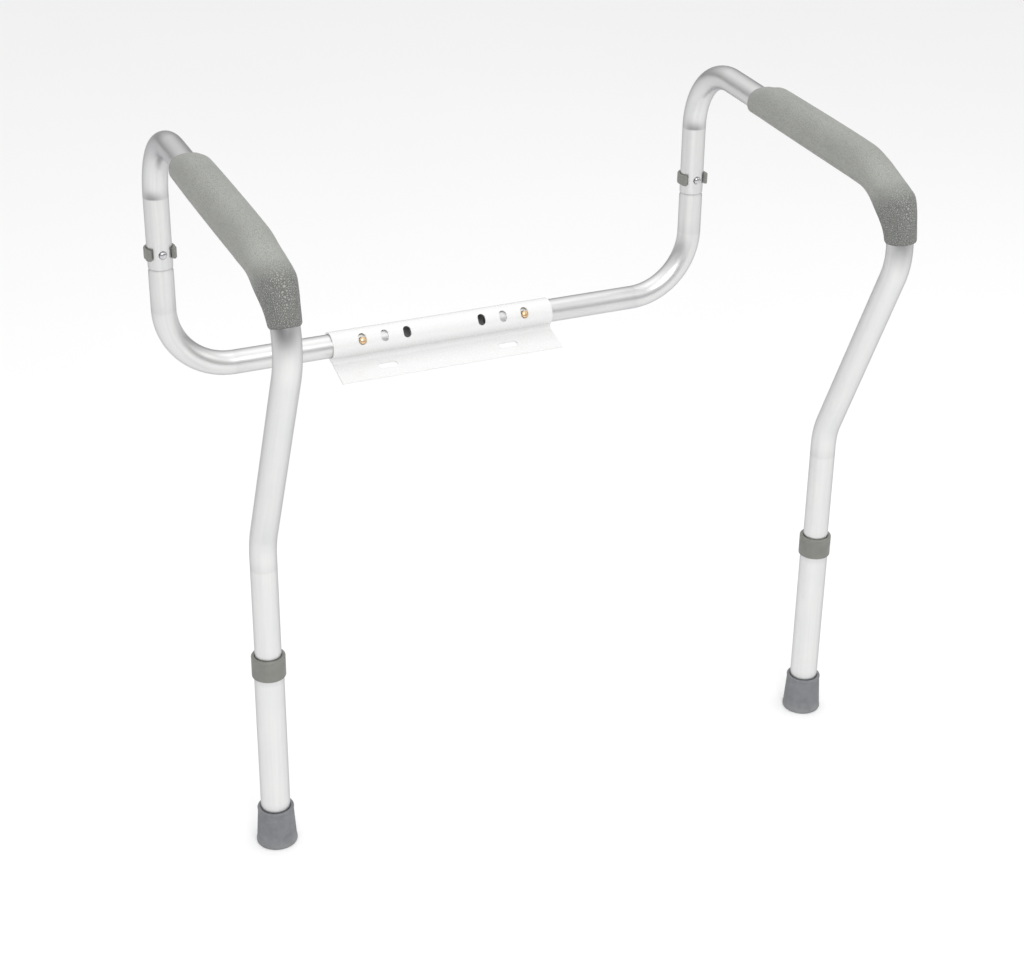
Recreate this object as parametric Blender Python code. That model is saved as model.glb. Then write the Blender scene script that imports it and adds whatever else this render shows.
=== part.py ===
"""A safety frame for a toilet: two armrest sides joined by a bracket under the seat bolts.

+X runs across the frame, -Y is its open front and +Z is up. The feet stand on z = 0, and
the origin is the bottom centre of the whole frame. Every length is in metres.
"""
import math

import bmesh
import bpy
from mathutils import Matrix, Vector

# Layout of one side frame, measured on the tube's axis
HALF_WIDTH = 0.3015  # middle of the frame to a side frame
REAR_BAR_Z = 0.3810  # cross bar behind the bowl
ARM_REAR_Z = 0.6450  # where the arm's line meets the rear upright's
ARM_SLOPE = math.radians(4.1)  # the arm falls towards the front
FRONT_REACH = 0.3951  # rear upright to front upright
LEG_REACH = 0.2983  # rear upright to leg
UPPER_KNEE_Z = 0.5450
LOWER_KNEE_Z = 0.3310

# Tubes
TUBE_R = 0.0127
TUBE_BORE_R = 0.0115
LEG_R = 0.0143
LEG_BORE_R = 0.0131
BAR_BEND_R = 0.070
ARM_BEND_R = 0.070
NOSE_BEND_R = 0.060
KNEE_BEND_R = 0.070
TUBE_SIDES = 20
BEND_STEP = math.radians(12)

# Rear joint, where the arm tube plugs over the rear tube
JOINT_Z = 0.496
PLUG_TOP_Z = 0.567
PLUG_R = 0.0112
PLUG_BORE_R = 0.0100
SWAGE_LENGTH = 0.004
JOINT_BUTTON_Z = 0.512

# Clip round the back of the rear joint
CLIP_THICKNESS = 0.0028
CLIP_HEIGHT = 0.0125
CLIP_HALF_OPENING = math.radians(48)
CLIP_LIP = 0.0012

# Leg, its collar, its height holes and its foot
ARM_TUBE_END_Z = 0.025
LEG_TOP_Z = 0.202
LEG_END_Z = 0.0102
LEG_BUTTON_Z = 0.045
HOLE_PITCH = 0.0254
HEIGHT_HOLES = 6
COLLAR_R = 0.01625
COLLAR_BOTTOM_Z = 0.190
COLLAR_TOP_Z = 0.212
FOOT_BASE_R = 0.0200
FOOT_TOP_R = 0.0178
FOOT_HEIGHT = 0.040
FOOT_FLOOR = 0.008
FOOT_RECESS_R = 0.009
FOOT_RECESS_DEPTH = 0.0015
WASHER_THICKNESS = 0.0016

# Seat bracket: a sleeve for the two cross bars and a sloping plate for the seat bolts
BRACKET_HALF = 0.1270
SLEEVE_R = 0.0150
SLEEVE_BORE_R = 0.01305
PLATE_SLOPE = math.radians(17.5)
PLATE_DEPTH = 0.0468
PLATE_THICKNESS = 0.0020
PLATE_ROOT = 0.0013  # starts this far past the sleeve's tangent, clear of the bore
BOLT_SPACING = 0.1397
BOLT_SLOT_DEPTH_AT = 0.0290
BOLT_SLOT_LENGTH = 0.0225
BOLT_SLOT_WIDTH = 0.0095
WIDTH_BUTTON_X = 0.0940
WIDTH_SLOTS = 3
WIDTH_SLOT_ANGLE = math.radians(32.5)  # up from straight forward
WIDTH_SLOT_LENGTH = 0.0125
WIDTH_SLOT_WIDTH = 0.0086
WIDTH_BUTTON_ANGLE = math.radians(25)
REAR_TUBE_END_X = 0.0560

# Snap buttons and their leaf springs
BUTTON_R = 0.0039
BUTTON_FLANGE_R = 0.0050
BUTTON_FLANGE = 0.0006
BUTTON_RISE = 0.0027  # stands this far proud of the outer tube
BUTTON_HOLE_R = 0.0043
BUTTON_SIDES = 12
SPRING_WIDTH = 0.0070
SPRING_THICKNESS = 0.0006
SPRING_LENGTH = 0.036

# Moulded armrest pad
PAD_START = 0.131  # ahead of the rear upright
PAD_SIDES = 20
PAD_HALF_WIDTH = 0.0195
PAD_TOP = 0.0252
PAD_BOTTOM = 0.0142
PAD_REAR_HALF_WIDTH = 0.0170
PAD_REAR_TOP = 0.0165
PAD_TAPER = 0.026
PAD_SHOULDER = 0.013
PAD_NOSE_HALF_WIDTH = 0.0190
PAD_NOSE_TOP = 0.0165
PAD_KNUCKLE_HALF_WIDTH = 0.0180
PAD_KNUCKLE_TOP = 0.0200
PAD_KNUCKLE_SHARE = 2 / 3  # of the padded part of the bend
PAD_BEND_SHARE = 6 / 7  # of the front bend under the pad
PAD_END_R = 0.0150
PAD_EDGE = 0.002

GAP = 0.0003  # between touching pieces
NOSE_ANGLE = ARM_SLOPE + PAD_BEND_SHARE * (math.pi / 2 - ARM_SLOPE)
NOSE_REACH = FRONT_REACH - NOSE_BEND_R + (NOSE_BEND_R + PAD_END_R) * math.sin(NOSE_ANGLE)
REAR_Y = (NOSE_REACH - TUBE_R - GAP - CLIP_THICKNESS) / 2

FORWARD = Vector((0, -1, 0))
UP = Vector((0, 0, 1))
ACROSS = Vector((1, 0, 0))


# --- materials and objects ---------------------------------------------------


def make_material(name, colour, roughness, metallic):
    """A Principled material."""
    material = bpy.data.materials.new(name)
    material.use_nodes = True
    shader = material.node_tree.nodes["Principled BSDF"]
    shader.inputs["Base Color"].default_value = (*colour, 1)
    shader.inputs["Roughness"].default_value = roughness
    shader.inputs["Metallic"].default_value = metallic
    return material


def make_object(name, bm, material, origin):
    """Turn a bmesh built in world space into an object whose origin is at a given point."""
    bmesh.ops.recalc_face_normals(bm, faces=bm.faces)
    bmesh.ops.translate(bm, vec=-origin, verts=bm.verts)
    mesh = bpy.data.meshes.new(name)
    bm.to_mesh(mesh)
    bm.free()
    mesh.shade_smooth()
    mesh.set_sharp_from_angle(angle=math.radians(35))
    if material:
        mesh.materials.append(material)
    obj = bpy.data.objects.new(name, mesh)
    obj.location = origin
    bpy.context.scene.collection.objects.link(obj)
    return obj


def hang(child, parent):
    """Parent an object and keep its place; no parent here is itself a child or turned."""
    child.parent = parent
    child.matrix_parent_inverse = Matrix.Translation(parent.location).inverted()


def combine(target, tool_mesh, operation):
    """Cut or join a hidden tool shape, given as a bmesh, with a Boolean modifier."""
    tool = make_object(f"{target.name}_{operation.lower()}_tool", tool_mesh, None, Vector())
    tool.hide_render = True
    tool.display_type = "WIRE"
    modifier = target.modifiers.new(operation.title(), "BOOLEAN")
    modifier.operation = operation
    modifier.solver = "EXACT"
    modifier.object = tool


# --- shapes ------------------------------------------------------------------


def rounded_path(corners, radii):
    """Points and directions along a line of corners, each inner one rounded to its radius."""
    path = [(corners[0], (corners[1] - corners[0]).normalized())]
    for before, corner, after, radius in zip(corners, corners[1:], corners[2:], radii):
        incoming = (corner - before).normalized()
        turn = incoming.angle(after - corner)
        axis = incoming.cross(after - corner).normalized()
        start = corner - incoming * radius * math.tan(turn / 2)
        centre = start + axis.cross(incoming) * radius
        steps = max(2, round(turn / BEND_STEP))
        for step in range(steps + 1):
            spin = Matrix.Rotation(turn * step / steps, 3, axis)
            path.append((centre + spin @ (start - centre), spin @ incoming))
    path.append((corners[-1], (corners[-1] - corners[-2]).normalized()))
    return path


def circle(point, direction, plane_normal, radius, sides=TUBE_SIDES):
    """A ring of points across a path that stays in the plane of the given normal."""
    lift = direction.cross(plane_normal)
    turns = [2 * math.pi * side / sides for side in range(sides)]
    return [point + radius * (math.cos(a) * plane_normal + math.sin(a) * lift) for a in turns]


def skin(bm, rings):
    """Quads between neighbouring rings; returns the first and the last ring's vertices."""
    loops = [[bm.verts.new(point) for point in ring] for ring in rings]
    for near, far in zip(loops, loops[1:]):
        bridge(bm, near, far)
    return loops[0], loops[-1]


def bridge(bm, near, far):
    """Quads between two rings of vertices."""
    count = len(near)
    for i in range(count):
        j = (i + 1) % count
        bm.faces.new((near[i], near[j], far[j], far[i]))


def hollow(outer_rings, inner_rings):
    """A pipe with an outer and an inner surface, closed by a flat ring at each end."""
    bm = bmesh.new()
    outer_start, outer_end = skin(bm, outer_rings)
    inner_start, inner_end = skin(bm, inner_rings)
    bridge(bm, outer_start, inner_start)
    bridge(bm, outer_end, inner_end)
    return bm


def solid(rings, bm=None):
    """A body skinned over rings and closed by a flat face at each end."""
    bm = bm or bmesh.new()
    start, end = skin(bm, rings)
    bm.faces.new(start)
    bm.faces.new(end)
    return bm


def turned(base, axis, profile, sides):
    """Rings of a shape turned about an axis square to X, from (radius, height) points."""
    return [circle(base + axis * height, axis, ACROSS, radius, sides) for radius, height in profile]


def stadium(bm, centre, long_axis, through, length, width, depth):
    """A bar with round ends, to cut an oblong slot."""
    end_steps = 6
    shift = (length - width) / 2
    side_axis = through.cross(long_axis)
    outline = []
    for end in (1, -1):
        for step in range(end_steps + 1):
            angle = math.pi * (step / end_steps - 0.5)
            along = shift + math.cos(angle) * width / 2
            outline.append(end * (long_axis * along + side_axis * math.sin(angle) * width / 2))
    solid([[centre + through * z + point for point in outline] for z in (-depth / 2, depth / 2)], bm)


# --- pieces of one side ------------------------------------------------------


def arm_corners(x):
    """Corners of the arm tube's axis, from the rear joint over the arm and down to the leg."""
    rear = Vector((x, REAR_Y, 0))
    front = rear + FORWARD * FRONT_REACH
    leg = rear + FORWARD * LEG_REACH
    return [
        rear + UP * (JOINT_Z + GAP),
        rear + UP * ARM_REAR_Z,
        front + UP * (ARM_REAR_Z - FRONT_REACH * math.tan(ARM_SLOPE)),
        front + UP * UPPER_KNEE_Z,
        leg + UP * LOWER_KNEE_Z,
        leg + UP * ARM_TUBE_END_Z,
    ]


def make_arm_tube(side, x, material):
    path = rounded_path(arm_corners(x), [ARM_BEND_R, NOSE_BEND_R, KNEE_BEND_R, KNEE_BEND_R])
    bm = hollow(
        [circle(point, along, ACROSS, TUBE_R) for point, along in path],
        [circle(point, along, ACROSS, TUBE_BORE_R) for point, along in path],
    )
    tube = make_object(f"{side}_arm_tube", bm, material, Vector((x, REAR_Y, JOINT_Z)))
    holes = bmesh.new()
    drill(holes, Vector((x, REAR_Y, JOINT_BUTTON_Z)), FORWARD)
    drill(holes, Vector((x, REAR_Y - LEG_REACH, LEG_BUTTON_Z)), -FORWARD)
    combine(tube, holes, "DIFFERENCE")
    return tube


def make_rear_tube(side, x, material):
    sign = math.copysign(1, x)
    corners = [
        Vector((sign * REAR_TUBE_END_X, REAR_Y, REAR_BAR_Z)),
        Vector((x, REAR_Y, REAR_BAR_Z)),
        Vector((x, REAR_Y, JOINT_Z - SWAGE_LENGTH)),
    ]
    path = rounded_path(corners, [BAR_BEND_R])
    normal = ACROSS.cross(UP)
    upright = corners[-1]

    def upright_ring(z, radius):
        return circle(Vector((upright.x, upright.y, z)), UP, normal, radius)

    outer = [circle(point, along, normal, TUBE_R) for point, along in path]
    outer += [
        upright_ring(JOINT_Z, TUBE_R),
        upright_ring(JOINT_Z, PLUG_R),
        upright_ring(PLUG_TOP_Z, PLUG_R),
    ]
    inner = [circle(point, along, normal, TUBE_BORE_R) for point, along in path]
    inner += [upright_ring(JOINT_Z, PLUG_BORE_R), upright_ring(PLUG_TOP_Z, PLUG_BORE_R)]
    origin = Vector((sign * WIDTH_BUTTON_X, REAR_Y, REAR_BAR_Z))
    tube = make_object(f"{side}_rear_tube", hollow(outer, inner), material, origin)
    holes = bmesh.new()
    drill(holes, Vector((x, REAR_Y, JOINT_BUTTON_Z)), FORWARD)
    drill(holes, origin, width_button_direction())
    combine(tube, holes, "DIFFERENCE")
    return tube


def make_leg_tube(side, foot, material):
    rings = {}
    for radius in (LEG_R, LEG_BORE_R):
        rings[radius] = [
            circle(foot + UP * z, UP, ACROSS, radius) for z in (LEG_END_Z, LEG_TOP_Z)
        ]
    bm = hollow(rings[LEG_R], rings[LEG_BORE_R])
    tube = make_object(f"{side}_leg_tube", bm, material, foot + UP * LEG_BUTTON_Z)
    holes = bmesh.new()
    for hole in range(HEIGHT_HOLES):
        drill(holes, foot + UP * (LEG_BUTTON_Z + hole * HOLE_PITCH), -FORWARD)
    combine(tube, holes, "DIFFERENCE")
    return tube


def make_leg_collar(side, foot, material):
    edge = 0.0010
    outer = [
        (COLLAR_R - edge, COLLAR_BOTTOM_Z),
        (COLLAR_R, COLLAR_BOTTOM_Z + edge),
        (COLLAR_R, COLLAR_TOP_Z - edge),
        (COLLAR_R - edge, COLLAR_TOP_Z),
    ]
    inner = [
        (LEG_R + GAP, COLLAR_BOTTOM_Z),
        (LEG_R + GAP, LEG_TOP_Z + GAP),
        (TUBE_R + GAP, LEG_TOP_Z + GAP),
        (TUBE_R + GAP, COLLAR_TOP_Z),
    ]
    bm = hollow(turned(foot, UP, outer, TUBE_SIDES), turned(foot, UP, inner, TUBE_SIDES))
    return make_object(f"{side}_leg_collar", bm, material, foot + UP * LEG_TOP_Z)


def make_foot_tip(side, foot, material):
    lip = 0.0035
    profile = [
        (FOOT_RECESS_R, FOOT_RECESS_DEPTH),
        (FOOT_RECESS_R, 0),
        (FOOT_BASE_R - 0.0006, 0),
        (FOOT_BASE_R, 0.0010),
        (FOOT_BASE_R, lip),
        (FOOT_BASE_R - 0.0006, lip + 0.0012),
        (FOOT_TOP_R, FOOT_HEIGHT - 0.0010),
        (FOOT_TOP_R - 0.0008, FOOT_HEIGHT),
        (LEG_R + GAP, FOOT_HEIGHT),
        (LEG_R + GAP, FOOT_FLOOR),
    ]
    bm = solid(turned(foot, UP, profile, TUBE_SIDES))
    return make_object(f"{side}_foot_tip", bm, material, foot)


def make_foot_washer(side, foot, material):
    bottom = FOOT_FLOOR + GAP
    profile = [(LEG_R - GAP, bottom), (LEG_R - GAP, bottom + WASHER_THICKNESS)]
    bm = solid(turned(foot, UP, profile, TUBE_SIDES))
    return make_object(f"{side}_foot_washer", bm, material, foot + UP * bottom)


def make_joint_clip(side, x, material):
    """A springy C round the back of the joint, with its two lips beside the button."""
    steps = 16
    inner_r = TUBE_R + GAP
    outer_r = inner_r + CLIP_THICKNESS
    middle = Vector((x, REAR_Y, JOINT_BUTTON_Z))
    rings = []
    for step in range(steps + 1):
        angle = CLIP_HALF_OPENING + (2 * math.pi - 2 * CLIP_HALF_OPENING) * step / steps
        outward = FORWARD * math.cos(angle) + ACROSS * math.sin(angle)
        reach = outer_r + (CLIP_LIP if step in (0, steps) else 0)
        half = UP * CLIP_HEIGHT / 2
        ends = (outward * inner_r, outward * reach)
        rings.append([middle + ends[0] - half, middle + ends[1] - half,
                      middle + ends[1] + half, middle + ends[0] + half])
    return make_object(f"{side}_joint_clip", solid(rings), material, middle)


def pad_section(point, along, half_width, top, bottom):
    """A rounded section, wider than tall, whose top faces away from the bend."""
    lift = along.cross(ACROSS)
    outline = []
    for side in range(PAD_SIDES):
        angle = 2 * math.pi * side / PAD_SIDES
        rise = math.sin(angle)
        height = (top if rise > 0 else bottom) * rise
        outline.append(point + ACROSS * half_width * math.cos(angle) + lift * height)
    return outline


def blend(first, second, share):
    """Sizes part of the way from the first set to the second."""
    return [a + (b - a) * share for a, b in zip(first, second)]


def make_arm_pad(side, x, material):
    corners = arm_corners(x)
    arm = (corners[2] - corners[1]).normalized()
    start = corners[1] + arm * (PAD_START / math.cos(ARM_SLOPE))
    bend = rounded_path([start, *corners[2:4]], [NOSE_BEND_R])[1:-1]
    bend = bend[: round(PAD_BEND_SHARE * (len(bend) - 1)) + 1]
    full = (PAD_HALF_WIDTH, PAD_TOP, PAD_BOTTOM)
    nose = (PAD_NOSE_HALF_WIDTH, PAD_NOSE_TOP, PAD_BOTTOM)
    knuckle = (PAD_KNUCKLE_HALF_WIDTH, PAD_KNUCKLE_TOP, PAD_BOTTOM)
    rear = (PAD_REAR_HALF_WIDTH, PAD_REAR_TOP, PAD_BOTTOM)
    end = (PAD_END_R, PAD_END_R, PAD_END_R)
    sections = [
        (start, arm, *[size - PAD_EDGE / 4 for size in rear]),
        (start + arm * PAD_EDGE, arm, *rear),
        (start + arm * PAD_TAPER, arm, *full),
        (bend[0][0] - arm * PAD_SHOULDER, arm, *full),
        (*bend[0], *blend(full, nose, 1 / 2)),
    ]
    for index, (point, along) in enumerate(bend[1:], 1):
        share = index / (len(bend) - 1)
        if share <= PAD_KNUCKLE_SHARE:
            sizes = blend(nose, knuckle, share / PAD_KNUCKLE_SHARE)
        else:
            sizes = blend(knuckle, end, (share - PAD_KNUCKLE_SHARE) / (1 - PAD_KNUCKLE_SHARE))
        sections.append((point, along, *sizes))
    point, along = bend[-1]
    sections.append((point + along * PAD_EDGE, along, *[size - PAD_EDGE / 4 for size in end]))
    outer = [pad_section(*section) for section in sections]
    inner = [pad_section(point, along, *[TUBE_R + GAP] * 3) for point, along, *_ in sections]
    return make_object(f"{side}_arm_pad", hollow(outer, inner), material, start)


# --- snap buttons ------------------------------------------------------------


def width_button_direction():
    """The way a width button points: forward and up."""
    return FORWARD * math.cos(WIDTH_BUTTON_ANGLE) + UP * math.sin(WIDTH_BUTTON_ANGLE)


def drill(bm, centre, direction):
    """A round cutter from a tube's axis out through its wall."""
    reach = 2 * TUBE_R
    solid(turned(centre, direction, [(BUTTON_HOLE_R, TUBE_R / 2), (BUTTON_HOLE_R, reach)],
                 BUTTON_SIDES), bm)


def flange_top(bore_radius):
    """How far out a button's flat flange can sit inside a round bore."""
    clear = bore_radius * math.cos(math.pi / TUBE_SIDES) - GAP
    return math.sqrt(clear ** 2 - BUTTON_FLANGE_R ** 2)


def make_button(name, centre, direction, bore_radius, outer_radius, material):
    """A domed pin on a thin flange that stays inside the tube."""
    seat = flange_top(bore_radius)
    top = outer_radius + BUTTON_RISE
    dome = 0.0016
    profile = [(BUTTON_FLANGE_R, seat - BUTTON_FLANGE), (BUTTON_FLANGE_R, seat), (BUTTON_R, seat)]
    for angle in (0, 30, 60, 80):
        slope = math.radians(angle)
        profile.append((BUTTON_R * math.cos(slope), top - dome + dome * math.sin(slope)))
    bm = solid(turned(centre, direction, profile, BUTTON_SIDES))
    return make_object(name, bm, material, centre + direction * top)


def make_spring(name, centre, direction, along, bore_radius, material):
    """A leaf folded to a V: one arm under the button, the other on the far wall."""
    width_axis = direction.cross(along)
    clear = bore_radius * math.cos(math.pi / TUBE_SIDES) - GAP
    near = flange_top(bore_radius) - BUTTON_FLANGE - GAP - SPRING_THICKNESS / 2
    far = math.sqrt(clear ** 2 - (SPRING_WIDTH / 2) ** 2) - SPRING_THICKNESS / 2
    fold = 0.0030
    corners = [
        (-0.005, near),
        (0.006, near),
        (SPRING_LENGTH, fold / 2),
        (SPRING_LENGTH, -fold / 2),
        (-0.004, -far),
    ]
    points = [centre + along * s + direction * r for s, r in corners]
    path = rounded_path(points, [0.010, fold / 3, fold / 3])
    rings = []
    for point, heading in path:
        thick = width_axis.cross(heading) * SPRING_THICKNESS / 2
        wide = width_axis * SPRING_WIDTH / 2
        rings.append([point - thick - wide, point - thick + wide,
                      point + thick + wide, point + thick - wide])
    return make_object(name, solid(rings), material, centre)


# --- the bracket -------------------------------------------------------------


def make_bracket(material):
    """The sleeve and its sloping plate, one piece, with its bolt slots and button slots."""
    axis = Vector((0, REAR_Y, REAR_BAR_Z))
    ends = [axis + ACROSS * x for x in (-BRACKET_HALF, BRACKET_HALF)]
    sleeve_sides = 32
    bm = hollow(
        [circle(end, ACROSS, UP, SLEEVE_R, sleeve_sides) for end in ends],
        [circle(end, ACROSS, UP, SLEEVE_BORE_R, sleeve_sides) for end in ends],
    )
    bracket = make_object("bracket", bm, material, axis)

    down_plate = FORWARD * math.cos(PLATE_SLOPE) - UP * math.sin(PLATE_SLOPE)
    plate_normal = FORWARD * math.sin(PLATE_SLOPE) + UP * math.cos(PLATE_SLOPE)
    under = axis - plate_normal * SLEEVE_R
    outline = [
        under + down_plate * PLATE_ROOT,
        under + down_plate * PLATE_DEPTH,
        under + down_plate * PLATE_DEPTH + plate_normal * PLATE_THICKNESS,
        under + down_plate * PLATE_ROOT + plate_normal * PLATE_THICKNESS,
    ]
    plate = solid([[point + ACROSS * x for point in outline] for x in (-BRACKET_HALF, BRACKET_HALF)])
    combine(bracket, plate, "UNION")

    slots = bmesh.new()
    for sign in (-1, 1):
        bolt = under + down_plate * BOLT_SLOT_DEPTH_AT + ACROSS * sign * BOLT_SPACING / 2
        stadium(slots, bolt, ACROSS, plate_normal, BOLT_SLOT_LENGTH, BOLT_SLOT_WIDTH, 0.010)
        for slot in range(WIDTH_SLOTS):
            x = sign * (WIDTH_BUTTON_X - slot * HOLE_PITCH)
            outward = FORWARD * math.cos(WIDTH_SLOT_ANGLE) + UP * math.sin(WIDTH_SLOT_ANGLE)
            round_sleeve = ACROSS.cross(outward)
            centre = axis + ACROSS * x + outward * SLEEVE_R
            stadium(slots, centre, round_sleeve, outward, WIDTH_SLOT_LENGTH, WIDTH_SLOT_WIDTH, 0.010)
    combine(bracket, slots, "DIFFERENCE")
    return bracket


# --- assembly ----------------------------------------------------------------


def make_side(side, sign, bracket, materials):
    """Every piece of one side frame, hung from the tube that carries it."""
    x = sign * HALF_WIDTH
    foot = Vector((x, REAR_Y - LEG_REACH, 0))
    rear_tube = make_rear_tube(side, x, materials["tube"])
    arm_tube = make_arm_tube(side, x, materials["tube"])
    leg_tube = make_leg_tube(side, foot, materials["tube"])

    width_centre = Vector((sign * WIDTH_BUTTON_X, REAR_Y, REAR_BAR_Z))
    joint_centre = Vector((x, REAR_Y, JOINT_BUTTON_Z))
    leg_centre = foot + UP * LEG_BUTTON_Z
    spring = materials["spring"]
    width_direction = width_button_direction()
    on_rear_tube = [
        make_button(f"{side}_width_button", width_centre, width_direction, TUBE_BORE_R,
                    SLEEVE_R, materials["brass"]),
        make_button(f"{side}_joint_button", joint_centre, FORWARD, PLUG_BORE_R,
                    TUBE_R, materials["chrome"]),
        make_spring(f"{side}_joint_spring", joint_centre, FORWARD, UP, PLUG_BORE_R, spring),
    ]
    on_arm_tube = [
        make_arm_pad(side, x, materials["pad"]),
        make_joint_clip(side, x, materials["clip"]),
        make_button(f"{side}_leg_button", leg_centre, -FORWARD, TUBE_BORE_R,
                    LEG_R, materials["chrome"]),
        make_spring(f"{side}_leg_spring", leg_centre, -FORWARD, UP, TUBE_BORE_R, spring),
    ]
    on_leg_tube = [
        make_leg_collar(side, foot, materials["collar"]),
        make_foot_tip(side, foot, materials["rubber"]),
        make_foot_washer(side, foot, materials["spring"]),
    ]
    width_spring = make_spring(f"{side}_width_spring", width_centre, width_direction,
                               ACROSS * sign, TUBE_BORE_R, spring)
    hang(width_spring, bracket)
    for tube, pieces in ((rear_tube, on_rear_tube), (arm_tube, on_arm_tube), (leg_tube, on_leg_tube)):
        for piece in pieces:
            hang(piece, tube)


def main():
    for obj in list(bpy.data.objects):
        bpy.data.objects.remove(obj, do_unlink=True)
    materials = {
        "tube": make_material("satin_aluminium", (0.62, 0.62, 0.61), 0.35, 1.0),
        "bracket": make_material("white_enamel", (0.88, 0.88, 0.88), 0.30, 0.0),
        "pad": make_material("grey_foam", (0.35, 0.36, 0.32), 0.75, 0.0),
        "clip": make_material("clip_plastic", (0.19, 0.19, 0.17), 0.50, 0.0),
        "collar": make_material("collar_plastic", (0.22, 0.22, 0.20), 0.50, 0.0),
        "rubber": make_material("grey_rubber", (0.20, 0.21, 0.22), 0.80, 0.0),
        "brass": make_material("brass", (0.80, 0.58, 0.30), 0.30, 1.0),
        "chrome": make_material("chrome", (0.75, 0.75, 0.77), 0.12, 1.0),
        "spring": make_material("spring_steel", (0.45, 0.45, 0.46), 0.35, 1.0),
    }
    bracket = make_bracket(materials["bracket"])
    make_side("left", -1, bracket, materials)
    make_side("right", 1, bracket, materials)


main()
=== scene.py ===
"""Looks of the toilet safety frame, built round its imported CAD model.

Every length is in metres in the CAD's own frame: +X runs across the frame, -Y is its open
front and +Z is up. Every piece is made in place and then rides on its CAD body.
"""
import math

import bmesh
import bpy
from mathutils import Matrix, Vector, kdtree


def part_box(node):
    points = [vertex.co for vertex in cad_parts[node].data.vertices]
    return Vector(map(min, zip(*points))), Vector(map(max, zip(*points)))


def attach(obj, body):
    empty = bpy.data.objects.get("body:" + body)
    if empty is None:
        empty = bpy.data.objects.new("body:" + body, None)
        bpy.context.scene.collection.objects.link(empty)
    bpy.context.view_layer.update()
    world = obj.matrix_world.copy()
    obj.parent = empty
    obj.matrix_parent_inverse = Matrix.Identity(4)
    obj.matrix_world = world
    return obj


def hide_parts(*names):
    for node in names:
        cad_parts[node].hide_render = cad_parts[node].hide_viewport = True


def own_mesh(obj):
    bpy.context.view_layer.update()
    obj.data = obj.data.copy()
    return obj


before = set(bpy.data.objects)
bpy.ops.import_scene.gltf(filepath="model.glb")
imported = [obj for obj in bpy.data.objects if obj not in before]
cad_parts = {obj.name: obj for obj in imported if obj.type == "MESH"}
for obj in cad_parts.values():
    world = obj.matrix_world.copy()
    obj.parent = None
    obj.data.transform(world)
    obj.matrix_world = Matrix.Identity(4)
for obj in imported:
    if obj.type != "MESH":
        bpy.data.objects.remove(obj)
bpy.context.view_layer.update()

FORWARD = Vector((0, -1, 0))
UP = Vector((0, 0, 1))
ACROSS = Vector((1, 0, 0))
PAINTED_SHADE_SIDE = Vector((-0.5, -0.866, 0))  # painted shade is darkest on this side of a tube, which faces the camera

# Smoothness
TUBE_SIDES = 72
TURNED_SIDES = 96
BEND_STEP = math.radians(2.5)
SPACING = 0.010  # between rings on a straight stretch
CLOSEST = 0.0001  # an added ring stays further than this from the others
PAST_END_RINGS = 4  # rings that round each end of the clip

# Tubes
TUBE_R = 0.0127
TUBE_BORE_R = 0.0115
LEG_BORE_R = 0.0131
PLUG_R = 0.0112
PLUG_BORE_R = 0.0100
SWAGE_LENGTH = 0.004
BAR_BEND_R = 0.070
ARM_BEND_R = 0.070
NOSE_BEND_R = 0.060
KNEE_BEND_R = 0.070
ARM_BENDS = (ARM_BEND_R, NOSE_BEND_R, KNEE_BEND_R, KNEE_BEND_R)
HOLE_R = 0.0043
HOLE_PITCH = 0.0254
HEIGHT_HOLES = 6
TUBE_EDGE_EASE = 0.0002

# Places, from the CAD frame
REAR_LOW, REAR_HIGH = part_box("right_rear_tube")
ARM_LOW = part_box("right_arm_tube")[0]
LEG_LOW, LEG_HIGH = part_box("right_leg_tube")
HALF_WIDTH = REAR_HIGH.x - TUBE_R
REAR_Y = REAR_HIGH.y - TUBE_R
REAR_BAR_Z = REAR_LOW.z + TUBE_R
REAR_TUBE_END_X = REAR_LOW.x
PLUG_TOP_Z = REAR_HIGH.z
FRONT_REACH = REAR_Y - TUBE_R - ARM_LOW.y
LEG_R = (LEG_HIGH.x - LEG_LOW.x) / 2
LEG_Y = (LEG_HIGH.y + LEG_LOW.y) / 2
ARM_TUBE_END_Z = ARM_LOW.z
JOINT_BUTTON_Z = sum(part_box("right_joint_button"), Vector()).z / 2
LEG_BUTTON_Z = sum(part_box("right_leg_button"), Vector()).z / 2
WIDTH_BUTTON_X = sum(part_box("right_width_button"), Vector()).x / 2
JOINT_Z = JOINT_BUTTON_Z - 0.016  # the seam between rear tube and arm tube

# Arm profile
ARM_REAR_Z = 0.6450  # where the arm's line meets the rear upright's
ARM_SLOPE = math.radians(4.1)
UPPER_KNEE_Z = 0.5450
LOWER_KNEE_Z = 0.3310
PLUG_RING_RISE = 0.0028  # a ring of painted shade, over the plug's top
KNEE_RING_DROP = 0.0248  # the mark that bending leaves, under the lower knee

# Buttons
BUTTON_R = 0.0039
BUTTON_FLANGE_R = 0.0050
BUTTON_FLANGE = 0.0006
BUTTON_RISE = 0.0027  # stands this far proud of the outer tube
BUTTON_DOME = 0.0020
SPRING_WIDTH = 0.0070
SPRING_THICKNESS = 0.0006
SPRING_LENGTH = 0.036  # from the button's axis to the fold
SPRING_FOLD = 0.0030
SPRING_FOLD_R = 0.0010
SPRING_BEND_R = 0.010
SPRING_BEHIND = 0.005  # the button's leaf reaches this far behind the button
SPRING_FLAT = 0.006  # and is flat this far ahead of it
SPRING_HEEL = 0.004  # the other leaf ends this far behind
SPRING_EASE = 0.0001
WIDTH_BUTTON_ANGLE = math.radians(25)

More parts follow.
